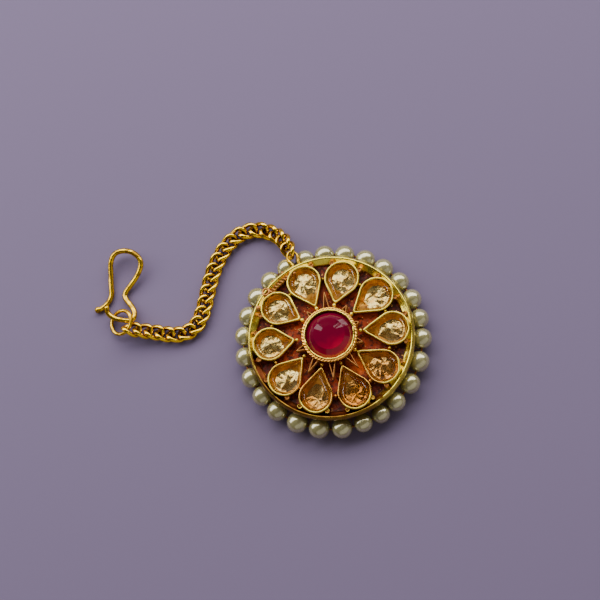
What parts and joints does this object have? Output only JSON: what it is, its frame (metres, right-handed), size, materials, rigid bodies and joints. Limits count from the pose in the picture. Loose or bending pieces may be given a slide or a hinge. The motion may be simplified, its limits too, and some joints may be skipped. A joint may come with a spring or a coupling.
{
  "type": "maang tikka",
  "caption": "Round forehead ornament with a ruby-red centre stone, champagne pear stones and a pearl edge, on a curb chain with a wire hair hook.",
  "frame": {"origin": "centre of the medallion's flat back, which is the surface that it lies on", "axes": "+Z out of the medallion's face, +Y from the centre stone towards the bail and chain, +X to the right as the face is seen with the bail up"},
  "size_m": [0.0534, 0.0496, 0.0076],
  "materials": {
    "gold_plate": "polished yellow gold plate, a little worn",
    "gold_wire": "polished yellow gold plate on wire",
    "red_ground": "dark red foil and enamel, semi gloss",
    "ruby_glass": "faceted, foil backed",
    "champagne_glass": "faceted, foil backed",
    "pearl": "cream pearl lustre"
  },
  "bodies": {
    "root": {"setting": "gold_plate", "back_plate": "gold_plate", "red_ground": "red_ground", "ruby": "ruby_glass", "pear_01": "champagne_glass", "pear_02": "champagne_glass", "pear_03": "champagne_glass", "pear_04": "champagne_glass", "pear_05": "champagne_glass", "pear_06": "champagne_glass", "pear_07": "champagne_glass", "pear_08": "champagne_glass", "pear_09": "champagne_glass", "pear_10": "champagne_glass", "pearl_01": "pearl", "pearl_02": "pearl", "pearl_03": "pearl", "pearl_04": "pearl", "pearl_05": "pearl", "pearl_06": "pearl", "pearl_07": "pearl", "pearl_08": "pearl", "pearl_09": "pearl", "pearl_10": "pearl", "pearl_11": "pearl", "pearl_12": "pearl", "pearl_13": "pearl", "pearl_14": "pearl", "pearl_15": "pearl", "pearl_16": "pearl", "pearl_17": "pearl", "pearl_18": "pearl", "pearl_19": "pearl", "pearl_20": "pearl", "pearl_21": "pearl", "pearl_22": "pearl", "pearl_23": "pearl", "pearl_24": "pearl", "pearl_25": "pearl", "pearl_26": "pearl", "pearl_wire": "gold_wire", "curb_chain": "gold_wire", "jump_ring": "gold_wire", "hook": "gold_wire"}
  },
  "joints": []
}
